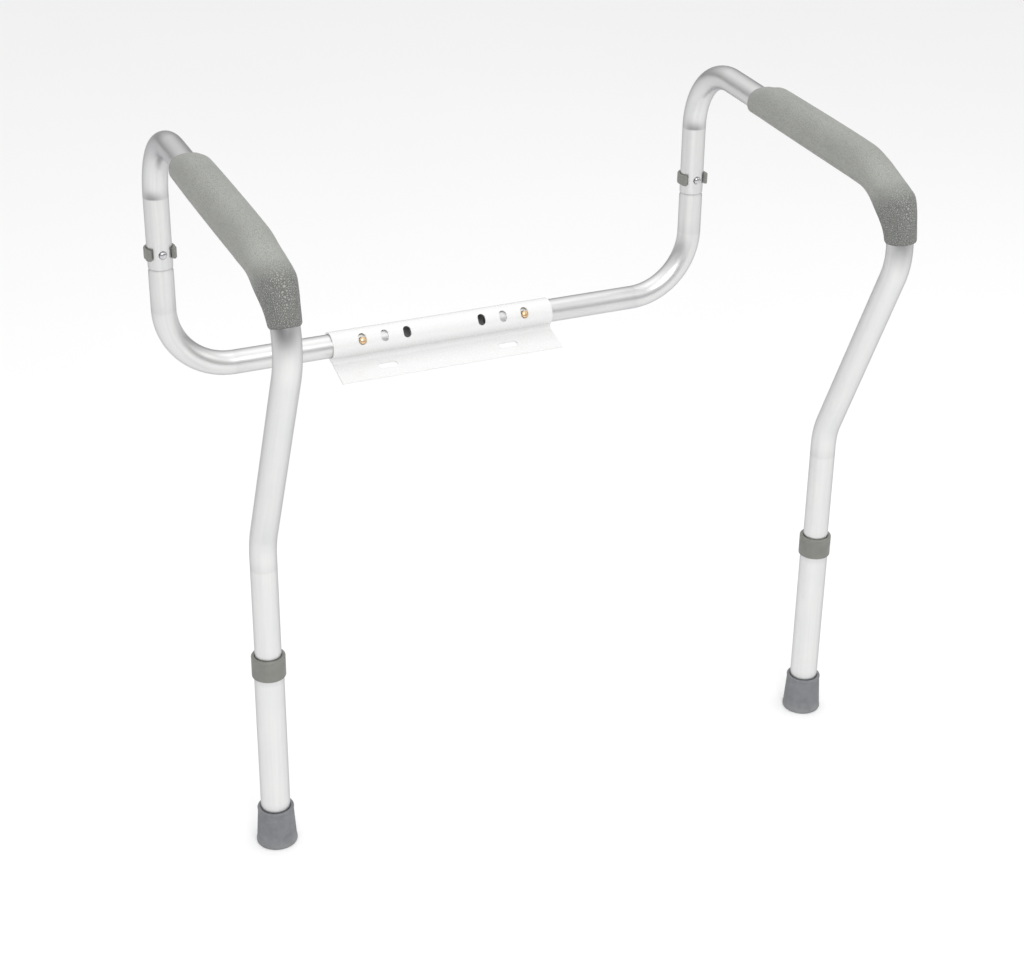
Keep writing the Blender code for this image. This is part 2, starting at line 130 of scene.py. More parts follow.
# Seat bracket
BRACKET_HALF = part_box("bracket")[1].x
SLEEVE_R = 0.0150
SLEEVE_BORE_R = 0.01305
PLATE_SLOPE = math.radians(17.5)
PLATE_DEPTH = 0.0468
PLATE_THICKNESS = 0.0020
PLATE_FILLET_R = 0.0040
BOLT_SPACING = 0.1397
BOLT_SLOT_AT = 0.0290
BOLT_SLOT = (0.0225, 0.0095)
WIDTH_SLOT = (0.0125, 0.0086)
WIDTH_SLOTS = 3
WIDTH_SLOT_ANGLE = math.radians(32.5)
SLOT_CUT_DEPTH = 0.010

# Collar, foot and clip
COLLAR_LOW, COLLAR_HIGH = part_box("right_leg_collar")
FOOT_LOW, FOOT_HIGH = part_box("right_foot_tip")
COLLAR_R = (COLLAR_HIGH.x - COLLAR_LOW.x) / 2
FOOT_BASE_R = (FOOT_HIGH.x - FOOT_LOW.x) / 2
FOOT_TOP_R = 0.0178
FOOT_FLOOR = 0.008  # the rubber under the washer
FOOT_HOLE_R = 0.0035  # through the middle of the sole
FOOT_GROOVES = (0.0122, 0.0155)  # radii of the sole's round grooves
WASHER_HOLE_R = 0.0045
FIT = 0.0003  # clearance between touching pieces
CLIP_THICKNESS = 0.0028
CLIP_HEIGHT = 0.0113
CLIP_HALF_OPENING = math.radians(50)
CLIP_LIP = 0.0016  # thicker by this at its two ends
CLIP_LIP_REACH = math.radians(24)
CLIP_EASE = 0.0009

# Armrest pad: distances run forward along the tube from the rear upright's line
PAD_START = {"left": 0.1249, "right": 0.1365}  # the left one has slid back
PAD_LENGTH = 0.286
PAD_NOSE = 0.245  # where the nose's coarser skin, darkened with painted shade, starts
PAD_BORE_R = TUBE_R + 0.00005
PAD_THINNEST = 0.00015
PAD_SKIN_R = 0.020  # the skin's pattern runs round the pad at this radius
PAD_REAR_LIP = 0.0006
PAD_FRONT_LIP = 0.0028

# Light, and the camera as fitted to the photograph
SKY = ((0.0, 0.25), (0.3, 0.60), (0.7, 1.0))  # (height, grey) from the horizon up
SKY_STRENGTH = 1.08
WALL_GREY = 0.78  # what the camera sees in place of the sky
CAMERA_AZIMUTH = math.radians(-24.84)
CAMERA_ELEVATION = math.radians(26.59)
CAMERA_ROLL = math.radians(0.66)
CAMERA_LOOKS_AT = Vector((0.0043, 0.0172, 0.2831))
CAMERA_DISTANCE = 2.0984
FOCAL_LENGTH = 71.71  # in mm, on a 36 mm sensor


# --- small maths -------------------------------------------------------------


def curve_through(knots, x):
    """The values at x on a smooth curve through knots of (x, value, value, ...)."""
    if x <= knots[0][0]:
        return knots[0][1:]
    if x >= knots[-1][0]:
        return knots[-1][1:]
    upper = next(i for i, knot in enumerate(knots) if knot[0] >= x)
    near = knots[max(upper - 2, 0) : upper + 2]
    start, end = knots[upper - 1], knots[upper]
    span = end[0] - start[0]
    t = (x - start[0]) / span
    before, after = near[0], near[-1]
    values = []
    for k in range(1, len(start)):
        slope_in = (end[k] - before[k]) / (end[0] - before[0]) * span
        slope_out = (after[k] - start[k]) / (after[0] - start[0]) * span
        values.append(
            (2 * t**3 - 3 * t**2 + 1) * start[k]
            + (t**3 - 2 * t**2 + t) * slope_in
            + (3 * t**2 - 2 * t**3) * end[k]
            + (t**3 - t**2) * slope_out
        )
    return values


def trace(corners, radii):
    """Stations (point, heading, distance) along a line of corners rounded by arcs."""
    points = [(corners[0], (corners[1] - corners[0]).normalized())]

    def straight_to(end):
        start = points[-1][0]
        count = max(1, math.ceil((end - start).length / SPACING))
        heading = (end - start).normalized()
        for step in range(1, count + 1):
            points.append((start.lerp(end, step / count), heading))

    for before, corner, after, radius in zip(corners, corners[1:], corners[2:], radii):
        incoming = (corner - before).normalized()
        turn = incoming.angle(after - corner)
        axis = incoming.cross(after - corner).normalized()
        start = corner - incoming * radius * math.tan(turn / 2)
        centre = start + axis.cross(incoming) * radius
        straight_to(start)
        steps = math.ceil(turn / BEND_STEP)
        for step in range(1, steps + 1):
            spin = Matrix.Rotation(turn * step / steps, 3, axis)
            points.append((centre + spin @ (start - centre), spin @ incoming))
    straight_to(corners[-1])
    stations = []
    distance = 0
    for (point, heading), (last, _) in zip(points, [points[0], *points]):
        distance += (point - last).length
        stations.append((point, heading, distance))
    return stations


def ring(point, heading, side, radius, count=TUBE_SIDES):
    """A circle of points across a heading; side is a direction in the circle's plane."""
    lift = heading.cross(side)
    turns = [2 * math.pi * i / count for i in range(count)]
    return [point + radius * (math.cos(a) * side + math.sin(a) * lift) for a in turns]


def turned(base, axis, side, profile, count=TURNED_SIDES):
    """Rings of a lathe shape from (radius, height) points."""
    return [ring(base + axis * height, axis, side, radius, count) for radius, height in profile]


def arc(centre, radius, start, end, steps):
    """Points (x, y) on an arc between two angles in degrees."""
    angles = [math.radians(start + (end - start) * i / steps) for i in range(steps + 1)]
    return [(centre[0] + radius * math.cos(a), centre[1] + radius * math.sin(a)) for a in angles]


# --- meshes ------------------------------------------------------------------


def finish_mesh(bm, name, material, sharp_angle=32):
    """A shaded object made from a bmesh, which is freed."""
    bmesh.ops.recalc_face_normals(bm, faces=bm.faces)
    mesh = bpy.data.meshes.new(name)
    bm.to_mesh(mesh)
    bm.free()
    mesh.shade_smooth()
    mesh.set_sharp_from_angle(angle=math.radians(sharp_angle))
    if material:
        mesh.materials.append(material)
    obj = bpy.data.objects.new(name, mesh)
    bpy.context.scene.collection.objects.link(obj)
    return obj


def skin(rings, closed=False, bm=None):
    """Quads between rings in order, closed into a loop or else capped at both ends."""
    bm = bm or bmesh.new()
    loops = [[bm.verts.new(point) for point in points] for points in rings]
    pairs = list(zip(loops, loops[1:]))
    if closed:
        pairs.append((loops[-1], loops[0]))
    else:
        bm.faces.new(loops[0])
        bm.faces.new(loops[-1])
    for near, far in pairs:
        for i in range(len(near)):
            j = (i + 1) % len(near)
            bm.faces.new((near[i], near[j], far[j], far[i]))
    return bm


def stadium(bm, centre, long_axis, through, length, width, depth):
    """A bar with round ends, to cut an oblong slot."""
    steps = 16
    shift = (length - width) / 2
    side = through.cross(long_axis)
    outline = []
    for end in (1, -1):
        for x, y in arc((shift, 0), width / 2, -90, 90, steps):
            outline.append(end * (long_axis * x + side * y))
    ends = [[centre + through * z + point for point in outline] for z in (-depth / 2, depth / 2)]
    skin(ends, bm=bm)


def cut(obj, cutters):
    """Cut a bmesh of closed cutters out of an object and apply it."""
    tool = finish_mesh(cutters, "cutter", None)
    modifier = obj.modifiers.new("holes", "BOOLEAN")
    modifier.operation = "DIFFERENCE"
    modifier.solver = "EXACT"
    modifier.object = tool
    bpy.context.view_layer.update()
    evaluated = obj.evaluated_get(bpy.context.evaluated_depsgraph_get())
    mesh = bpy.data.meshes.new_from_object(evaluated)
    obj.modifiers.clear()
    obj.data = mesh
    bpy.data.objects.remove(tool)


def drill(cutters, centre, direction, side, depth=2 * TUBE_R):
    """A round cutter from a tube's axis out through its wall."""
    profile = [(HOLE_R, TUBE_R / 2), (HOLE_R, depth)]
    skin(turned(centre, direction, side, profile, 40), bm=cutters)


def set_normals(mesh, smooth_normal):
    """Give each face corner the exact normal that smooth_normal(vertex, face normal) returns."""
    mesh.shade_smooth()
    normals = [None] * len(mesh.loops)
    for polygon in mesh.polygons:
        for loop in polygon.loop_indices:
            vertex = mesh.loops[loop].vertex_index
            normals[loop] = smooth_normal(vertex, polygon.normal) or polygon.normal
    mesh.normals_split_custom_set(normals)


def lay_out_tube(obj, stations, side, marks):
    """Exact round normals, and for the finish each point's place along and around the tube.

    marks are (distance, reach before, reach after, depth, core) of dark bands: the marks that
    bending leaves and painted shade, where core is the share of the depth that keeps to the front
    of the tube.
    """
    mesh = obj.data
    tree = kdtree.KDTree(len(stations))
    for index, (point, _, _) in enumerate(stations):
        tree.insert(point, index)
    tree.balance()
    radials = []
    places = []
    smudges_and_shade = []
    for vertex in mesh.vertices:
        point, heading, distance = stations[tree.find(vertex.co)[1]]
        offset = vertex.co - point
        along = offset.dot(heading)
        radial = offset - heading * along
        lift = heading.cross(side)
        angle = math.atan2(radial.dot(lift), radial.dot(side))
        radials.append(radial.normalized())
        place = distance + along
        places += [TUBE_R * math.cos(angle), TUBE_R * math.sin(angle), place]
        # the dark bands: bending marks, and painted shade that is darkest toward the camera
        smudge_and_shade = 0
        facing = max(0, radials[-1].dot(PAINTED_SHADE_SIDE)) ** 5
        for middle, before, after, depth, core in marks:
            reach = before if place < middle else after
            fade = math.exp(-(((place - middle) / reach) ** 2))
            smudge_and_shade += depth * fade * (1 - core + core * facing)
        smudges_and_shade.append(smudge_and_shade)

    def round_normal(vertex, flat):
        facing = flat.dot(radials[vertex])
        if abs(facing) > 0.85:  # the outside or the bore, not an end or a hole
            return radials[vertex] * math.copysign(1, facing)
        return None

    set_normals(mesh, round_normal)
    mesh.attributes.new("tube_place", "FLOAT_VECTOR", "POINT").data.foreach_set("vector", places)
    mesh.attributes.new("smudge_and_shade", "FLOAT", "POINT").data.foreach_set("value", smudges_and_shade)


def tube(name, stations, side, outer_radius, bore_radius, cutters, marks, material):
    """A bent tube with its bore, eased ends and holes. The radii are functions of distance."""
    last = stations[-1][2]

    def rings(radius_at, inset):
        made = []
        for point, heading, distance in stations:
            ease = TUBE_EDGE_EASE if distance in (0, last) else 0
            made.append(ring(point, heading, side, radius_at(distance) - inset * ease))
        return made

    bm = skin(rings(outer_radius, 1) + rings(bore_radius, 0)[::-1], closed=True)
    obj = finish_mesh(bm, name, material)
    if cutters:
        cut(obj, cutters)
    lay_out_tube(obj, stations, side, marks)
    return obj


# --- materials ---------------------------------------------------------------


class Finish:
    """A Principled material and short ways to wire its nodes."""

    def __init__(self, name, colour, roughness, **sockets):
        self.material = bpy.data.materials.new(name)
        self.material.use_nodes = True
        self.tree = self.material.node_tree
        self.shader = self.tree.nodes["Principled BSDF"]
        self.shader.inputs["Base Color"].default_value = (*colour, 1)
        self.shader.inputs["Roughness"].default_value = roughness
        for socket, value in sockets.items():
            self.shader.inputs[socket.replace("_", " ")].default_value = value

    def node(self, kind, inputs=(), **settings):
        made = self.tree.nodes.new(kind)
        for key, value in settings.items():
            setattr(made, key, value)
        for key, value in dict(inputs).items():
            if isinstance(value, bpy.types.NodeSocket):
                self.tree.links.new(value, made.inputs[key])
            else:
                made.inputs[key].default_value = value
        return made

    def place(self, scale=(1, 1, 1), attribute=None):
        """Coordinates in metres on the piece, stretched by scale."""
        if attribute:
            source = self.node("ShaderNodeAttribute", attribute_name=attribute).outputs["Vector"]
        else:
            source = self.node("ShaderNodeTexCoord").outputs["Object"]
        return self.node("ShaderNodeMapping", {"Vector": source, "Scale": scale}).outputs["Vector"]

    def noise(self, place, scale, detail=3, roughness=0.5):
        inputs = {"Vector": place, "Scale": scale, "Detail": detail, "Roughness": roughness}
        return self.node("ShaderNodeTexNoise", inputs).outputs["Fac"]

    def spread(self, factor, low, high, start=0.3, end=0.7):
        """A factor carried from start..end to low..high."""
        inputs = {"Value": factor, "From Min": start, "From Max": end,
                  "To Min": low, "To Max": high}
        return self.node("ShaderNodeMapRange", inputs).outputs["Result"]

    def maths(self, operation, first, second):
        return self.node("ShaderNodeMath", {0: first, 1: second}, operation=operation).outputs[0]

    def mix(self, factor, first, second):
        """One colour or socket blended into another."""
        made = self.node("ShaderNodeMix", data_type="RGBA")
        for index, value in ((0, factor), (6, first), (7, second)):
            if isinstance(value, tuple):
                made.inputs[index].default_value = (*value, 1)
            else:
                self.tree.links.new(value, made.inputs[index])
        return made.outputs[2]

    def colour(self, socket):
        self.tree.links.new(socket, self.shader.inputs["Base Color"])

    def gloss(self, socket):
        self.tree.links.new(socket, self.shader.inputs["Roughness"])

    def relief(self, height, distance, strength=1, under=None):
        """A bump in metres, stacked on the one under it."""
        inputs = {"Height": height, "Distance": distance, "Strength": strength}
        if under:
            inputs["Normal"] = under
        bump = self.node("ShaderNodeBump", inputs).outputs["Normal"]
        self.tree.links.new(bump, self.shader.inputs["Normal"])
        return bump

    def soften(self, radius):
        """Rounded edges for the relief to stand on."""
        return self.node("ShaderNodeBevel", {"Radius": radius}, samples=4).outputs["Normal"]


def satin_aluminium(name, tone):
    """Drawn and anodised tube: fine lines along it, faint blotches, smudges at the bends and
    painted shade where other parts meet it.
    """
    finish = Finish(name, (tone, tone, tone), 0.34, Metallic=1.0,
                    Specular_Tint=(0.55, 0.55, 0.57, 1))
    lines = finish.noise(finish.place((900, 900, 9), "tube_place"), 1, detail=4, roughness=0.6)
    fine = finish.noise(finish.place((2600, 2600, 60), "tube_place"), 1, detail=2)
    blotch = finish.noise(finish.place((40, 40, 22), "tube_place"), 1, detail=3)
    # this attribute holds the bending marks and the painted shade under the pad, at the seam, over
    # the plug, under the collar and over the foot tip
    smudge_and_shade = finish.node("ShaderNodeAttribute", attribute_name="smudge_and_shade").outputs["Fac"]
    patchy_smudge_and_shade = finish.maths("MULTIPLY", smudge_and_shade, finish.spread(blotch, 0.75, 1.2))
    warm = (tone, tone * 0.995, tone * 0.985)
    cool = (tone * 0.96, tone * 0.965, tone * 0.97)
    scored = (tone * 0.9, tone * 0.9, tone * 0.9)
    # the dark of the smudges and of the painted shade
    smudged_and_shaded = (tone * 0.42, tone * 0.42, tone * 0.43)
    pale = finish.mix(finish.spread(blotch, 0, 1), warm, cool)
    drawn = finish.mix(finish.spread(lines, 0, 0.5), pale, scored)
    finish.colour(finish.mix(patchy_smudge_and_shade, drawn, smudged_and_shaded))
    dull = finish.spread(blotch, -0.03, 0.04)
    finish.gloss(finish.maths("ADD", finish.spread(lines, 0.30, 0.38), dull))
    under = finish.relief(lines, 0.00004, 0.6)
    finish.relief(fine, 0.00002, 0.5, under)
    return finish.material


def white_enamel():
    """Powder coat with faint lines along the sleeve and a light orange peel."""
    finish = Finish("white_enamel", (0.75, 0.75, 0.75), 0.26, Coat_Weight=0.5, Coat_Roughness=0.10)
    peel = finish.noise(finish.place(), 650, detail=2)
    lines = finish.noise(finish.place((5, 260, 260)), 1, detail=2)
    dust = finish.noise(finish.place(), 45, detail=1)
    light, dark, dusty = (0.757, 0.757, 0.752), (0.738, 0.739, 0.74), (0.742, 0.742, 0.737)
    tint = finish.mix(finish.spread(lines, 0, 1, 0.2, 0.8), light, dark)
    finish.colour(finish.mix(finish.spread(dust, 0, 0.5, 0.1, 0.9), tint, dusty))
    finish.gloss(finish.spread(peel, 0.25, 0.29, 0.1, 0.9))
    finish.relief(peel, 0.00001, 0.5, finish.soften(0.0004))
    return finish.material


def pebbled_foam():
    """Moulded grey foam with a leathery pebble skin, finer on the flat and open at the nose, with
    painted shade in its pits and over the nose.
    """
    finish = Finish("pebbled_foam", (0.33, 0.338, 0.315), 0.62, Specular_IOR_Level=0.45,
                    Sheen_Weight=0.08, Sheen_Roughness=0.5)
    place = finish.place(attribute="pad_place")
    wander = finish.node("ShaderNodeTexNoise", {"Vector": place, "Scale": 220, "Detail": 2})
    shifted = finish.node("ShaderNodeVectorMath", {0: wander.outputs["Color"], 1: (0.0016,) * 3},
                          operation="MULTIPLY").outputs[0]
    warped = finish.node("ShaderNodeVectorMath", {0: place, 1: shifted}).outputs[0]
    ahead = finish.node("ShaderNodeSeparateXYZ", {0: place}).outputs["Z"]
    nose = finish.spread(ahead, 0, 1, PAD_NOSE - 0.012, PAD_NOSE + 0.010)
    skins = []
    for cells_per_metre in (860, 620):
        inputs = {"Vector": warped, "Scale": cells_per_metre, "Randomness": 0.9}
        cells = finish.node("ShaderNodeTexVoronoi", inputs, feature="DISTANCE_TO_EDGE")
        skins.append(finish.spread(cells.outputs["Distance"], 0, 1, 0, 0.28))
    pebble = finish.mix(nose, *skins)
    pores = finish.noise(place, 2400, detail=2)
    cloud = finish.noise(place, 26, detail=4)
    flat = finish.mix(finish.spread(cloud, 0, 1), (0.345, 0.353, 0.328), (0.381, 0.388, 0.363))
    # painted shade: the nose's base colour is darker, for its coarser pits
    worn_and_shaded = finish.mix(nose, flat, (0.285, 0.29, 0.278))
    # painted shade in the grooves between pebbles, deeper at the nose
    shade = finish.spread(nose, 0.55, 1.0, 0, 1)
    pit_shade = finish.maths("MULTIPLY", finish.spread(pebble, 1, 0, 0, 1), shade)
    finish.colour(finish.mix(pit_shade, worn_and_shaded, (0.105, 0.11, 0.098)))
    smooth = finish.spread(pebble, 0.68, 0.48, 0, 1)
    finish.gloss(finish.maths("ADD", smooth, finish.spread(pores, -0.04, 0.04)))
    coarse = finish.maths("MULTIPLY", pebble, finish.spread(nose, 0.7, 2.0, 0, 1))
    under = finish.relief(coarse, 0.00025, 0.9)
    finish.relief(pores, 0.00006, 0.6, under)
    return finish.material


def moulded_plastic(name, colour, dark):
    """Matt moulded plastic with a spark-eroded grain, faint clouding and softened edges."""
    finish = Finish(name, colour, 0.5, Specular_IOR_Level=0.4)
    grain = finish.noise(finish.place(), 2200, detail=3)
    cloud = finish.noise(finish.place(), 90, detail=3)
    finish.colour(finish.mix(finish.spread(cloud, 0, 1), colour, dark))
    finish.gloss(finish.spread(grain, 0.44, 0.58))
    finish.relief(grain, 0.00003, 0.6, finish.soften(0.0003))
    return finish.material


def grey_rubber():
    """Soft bluish rubber, mottled, dusty towards the floor."""
    finish = Finish("grey_rubber", (0.20, 0.21, 0.225), 0.7, Specular_IOR_Level=0.35)
    mottle = finish.noise(finish.place(), 110, detail=5, roughness=0.6)
    grain = finish.noise(finish.place(), 1900, detail=3)
    height = finish.node("ShaderNodeSeparateXYZ", {0: finish.place()}).outputs["Z"]
    near_floor = finish.spread(height, 0.35, 0, 0, 0.014)
    dust = finish.maths("MULTIPLY", near_floor, finish.spread(mottle, 0.4, 1))
    tint = finish.mix(finish.spread(mottle, 0, 1), (0.162, 0.167, 0.178), (0.207, 0.211, 0.223))
    finish.colour(finish.mix(dust, tint, (0.36, 0.36, 0.35)))
    finish.gloss(finish.spread(grain, 0.6, 0.8))
    under = finish.relief(mottle, 0.00012, 0.5, finish.soften(0.0003))
    finish.relief(grain, 0.00004, 0.6, under)
    return finish.material


def bright_metal(name, colour, worn_and_shaded, roughness):
    """Polished metal with fine turning rings and slight tarnish."""
    finish = Finish(name, colour, roughness, Metallic=1.0)
    tarnish = finish.noise(finish.place(), 700, detail=4)
    scratch = finish.noise(finish.place((900, 900, 5200)), 1, detail=2)
    finish.colour(finish.mix(finish.spread(tarnish, 0, 1), colour, worn_and_shaded))
    finish.gloss(finish.spread(scratch, roughness * 0.7, roughness * 1.5))
    finish.relief(scratch, 0.00001, 0.5)
    return finish.material


# --- pieces of one side ------------------------------------------------------


def arm_corners(x):
    """Corners of the arm tube's axis, from the rear joint over the arm and down into the leg."""
    rear = Vector((x, REAR_Y, 0))
    front = rear + FORWARD * FRONT_REACH
    leg = Vector((x, LEG_Y, 0))
    return [
        rear + UP * (JOINT_Z + FIT),
        rear + UP * ARM_REAR_Z,
        front + UP * (ARM_REAR_Z - FRONT_REACH * math.tan(ARM_SLOPE)),
        front + UP * UPPER_KNEE_Z,
        leg + UP * LOWER_KNEE_Z,
        leg + UP * ARM_TUBE_END_Z,
    ]


def pad_start_point(side, corners):
    """Where the armrest pad's rear end stands on the tube's axis."""
    along_arm = (corners[2] - corners[1]).normalized()
    return corners[1] + along_arm * PAD_START[side] / math.cos(ARM_SLOPE)


def distance_at(stations, point):
    """How far along the tube's axis a point on it stands."""
    near, heading, distance = min(stations, key=lambda station: (station[0] - point).length)
    return distance + (point - near).dot(heading)


def station_at(stations, place):
    """Point and heading on the tube's axis at a distance along it."""
    for before, after in zip(stations, stations[1:]):
        if after[2] >= place:
            share = (place - before[2]) / (after[2] - before[2])
            return before[0].lerp(after[0], share), before[1].lerp(after[1], share).normalized()
    return stations[-1][:2]


def with_closer(stations, start, end, steps=12):
    """Stations with more of them over part of a straight stretch."""
    point, heading, distance = [station for station in stations if station[2] <= start][-1]
    extra = []
    for step in range(steps + 1):
        place = start + (end - start) * step / steps
        if min(abs(place - station[2]) for station in stations) > CLOSEST:
            extra.append((point + heading * (place - distance), heading, place))
    return sorted(stations + extra, key=lambda station: station[2])


def make_arm_tube(side, x, material):
    corners = arm_corners(x)
    stations = trace(corners, ARM_BENDS)
    holes = bmesh.new()
    drill(holes, Vector((x, REAR_Y, JOINT_BUTTON_Z)), FORWARD, ACROSS)
    drill(holes, Vector((x, LEG_Y, LEG_BUTTON_Z)), -FORWARD, ACROSS)
    plug_ring = distance_at(stations, Vector((x, REAR_Y, PLUG_TOP_Z + PLUG_RING_RISE)))
    knee_ring = distance_at(stations, corners[4] - UP * KNEE_RING_DROP)
    pad_ring = distance_at(stations, pad_start_point(side, corners)) + PAD_LENGTH
    stations = with_closer(stations, plug_ring - 0.0025, plug_ring + 0.001)
    stations = with_closer(stations, knee_ring - 0.001, knee_ring + 0.0035)
    marks = [
        (plug_ring, 0.0010, 0.010, 0.24, 0),  # a faint ring of painted shade over the plug
        (plug_ring, 0.0006, 0.008, 0.8, 1),  # and its dark front, painted shade toward the camera
        (knee_ring, 0.006, 0.0012, 0.13, 0),
        # painted shadow under the pad's front end, running down the tube
        (pad_ring, 0.004, 0.018, 1.1, 0.75),
    ]
    return tube(f"{side}_arm_tube_drawn", stations, ACROSS, lambda s: TUBE_R,
                lambda s: TUBE_BORE_R, holes, marks, material)


def make_rear_tube(side, x, material):
    sign = math.copysign(1, x)
    corners = [
        Vector((sign * REAR_TUBE_END_X, REAR_Y, REAR_BAR_Z)),
        Vector((x, REAR_Y, REAR_BAR_Z)),
        Vector((x, REAR_Y, PLUG_TOP_Z)),
    ]
    stations = trace(corners, [BAR_BEND_R])
    seam = stations[-1][2] - (PLUG_TOP_Z - JOINT_Z)
    stations = with_closer(stations, seam - SWAGE_LENGTH, seam)

    def swaged(full, reduced):
        def radius(distance):
            share = min(max(1 + (distance - seam) / SWAGE_LENGTH, 0), 1)
            return full + (reduced - full) * share**2 * (3 - 2 * share)
        return radius

    centre = Vector((sign * WIDTH_BUTTON_X, REAR_Y, REAR_BAR_Z))
    holes = bmesh.new()
    drill(holes, Vector((x, REAR_Y, JOINT_BUTTON_Z)), FORWARD, ACROSS)
    drill(holes, centre, width_button_direction(), ACROSS)
    bend_low = distance_at(stations, corners[1] - ACROSS * sign * BAR_BEND_R)
    bend_high = distance_at(stations, corners[1] + UP * BAR_BEND_R)
    marks = [
        (bend_low, 0.010, 0.002, 0.12, 0),
        (bend_high, 0.002, 0.010, 0.12, 0),
        # painted shadow under the arm tube's end, at the seam
        (seam, 0.0012, 0.001, 1.2, 0.4),
    ]
    return tube(f"{side}_rear_tube_drawn", stations, FORWARD, swaged(TUBE_R, PLUG_R),
                swaged(TUBE_BORE_R, PLUG_BORE_R), holes, marks, material)


def make_leg_tube(side, x, material):
    foot = Vector((x, LEG_Y, 0))
    stations = trace([foot + UP * LEG_LOW.z, foot + UP * LEG_HIGH.z], [])
    holes = bmesh.new()
    for hole in range(HEIGHT_HOLES):
        drill(holes, foot + UP * (LEG_BUTTON_Z + hole * HOLE_PITCH), -FORWARD, ACROSS)
    length = stations[-1][2]
    marks = [
        (length - 0.012, 0.004, 0.02, 0.35, 0),  # the shade under the collar
        (FOOT_HIGH.z - LEG_LOW.z, 0.01, 0.0015, 0.3, 0),  # and over the foot tip
    ]
    return tube(f"{side}_leg_tube_drawn", stations, ACROSS, lambda s: LEG_R,
                lambda s: LEG_BORE_R, holes, marks, material)


def make_leg_collar(side, x, material):
    """A moulded guide ring with eased rims and a fine groove under its top."""
    foot = Vector((x, LEG_Y, 0))
    low, high = COLLAR_LOW.z, COLLAR_HIGH.z
    top_ease, low_ease, mouth_ease = 0.0013, 0.0008, 0.0006
    groove = high - 0.0040
    profile = [
        *arc((COLLAR_R - low_ease, low + low_ease), low_ease, -90, 0, 6),
        (COLLAR_R, groove - 0.0005),
        (COLLAR_R - 0.0001, groove - 0.0002),
        (COLLAR_R - 0.0001, groove + 0.0002),
        (COLLAR_R, groove + 0.0005),
        *arc((COLLAR_R - top_ease, high - top_ease), top_ease, 0, 90, 8),
        *arc((TUBE_R + FIT + mouth_ease, high - mouth_ease), mouth_ease, 90, 180, 5),
        (TUBE_R + FIT, LEG_HIGH.z + FIT),
        (LEG_R + FIT, LEG_HIGH.z + FIT),
        (LEG_R + FIT, low + 0.0004),
        (LEG_R + FIT + 0.0004, low),
    ]
    bm = skin(turned(foot, UP, ACROSS, profile), closed=True)
    return finish_mesh(bm, f"{side}_leg_collar_moulded", material)


def make_foot_tip(side, x, material):
    """A tapered rubber tip with a rolled rim, a flared base and a grooved sole."""
    foot = Vector((x, LEG_Y, 0))
    height = FOOT_HIGH.z
    rim = 0.0011
    base_ease = 0.0016
    neck_r, neck_z = FOOT_BASE_R - 0.0006, 0.0060
    shoulder_r, shoulder_z = FOOT_TOP_R - 0.0003, height - 2 * rim - 0.0012
    mouth_r, mouth_ease = LEG_R + FIT, 0.0007
    recess_r, recess = 0.0090, 0.0022  # the hollow in the middle of the sole
    profile = [
        (FOOT_HOLE_R, recess),
        (recess_r - 0.0005, recess),
        (recess_r, recess - 0.0005),
        (recess_r, 0.0004),
        (recess_r + 0.0004, 0),
    ]
    for groove in FOOT_GROOVES:
        profile += [
            (groove - 0.0007, 0),
            (groove - 0.0005, 0.0010),
            (groove + 0.0005, 0.0010),
            (groove + 0.0007, 0),
        ]
    profile += arc((FOOT_BASE_R - base_ease, base_ease), base_ease, -90, 0, 8)
    profile += [
        (FOOT_BASE_R - 0.00005, 0.0036),
        (FOOT_BASE_R - 0.0004, 0.0046),
        (neck_r, neck_z),
    ]
    taper_steps = 12
    for step in range(1, taper_steps + 1):
        share = step / taper_steps
        radius = neck_r + (shoulder_r - neck_r) * share
        profile.append((radius, neck_z + (shoulder_z - neck_z) * share))
    profile.append((FOOT_TOP_R - 0.0001, shoulder_z + 0.0006))
    profile += arc((FOOT_TOP_R - rim, height - rim), rim, 0, 90, 8)
    profile += arc((mouth_r + mouth_ease, height - mouth_ease), mouth_ease, 90, 180, 5)
    profile += [
        (mouth_r, FOOT_FLOOR + 0.0005),
        (LEG_R - 0.0002, FOOT_FLOOR),
        (FOOT_HOLE_R, FOOT_FLOOR),
    ]
    bm = skin(turned(foot, UP, ACROSS, profile), closed=True)
    return finish_mesh(bm, f"{side}_foot_tip_rubber", material)


def make_foot_washer(side, x, material):
    """The steel disc inside the tip, with rolled edges and a centre hole."""
    low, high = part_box(f"{side}_foot_washer")
    outer = (high.x - low.x) / 2
    ease = (high.z - low.z) / 2
    inner_ease = ease / 2
    profile = [
        *arc((outer - ease, low.z + ease), ease, -90, 90, 8),
        *arc((WASHER_HOLE_R + inner_ease, high.z - inner_ease), inner_ease, 90, 180, 4),
        *arc((WASHER_HOLE_R + inner_ease, low.z + inner_ease), inner_ease, 180, 270, 4),
    ]
    bm = skin(turned(Vector((x, LEG_Y, 0)), UP, ACROSS, profile), closed=True)
    return finish_mesh(bm, f"{side}_foot_washer_steel", material)


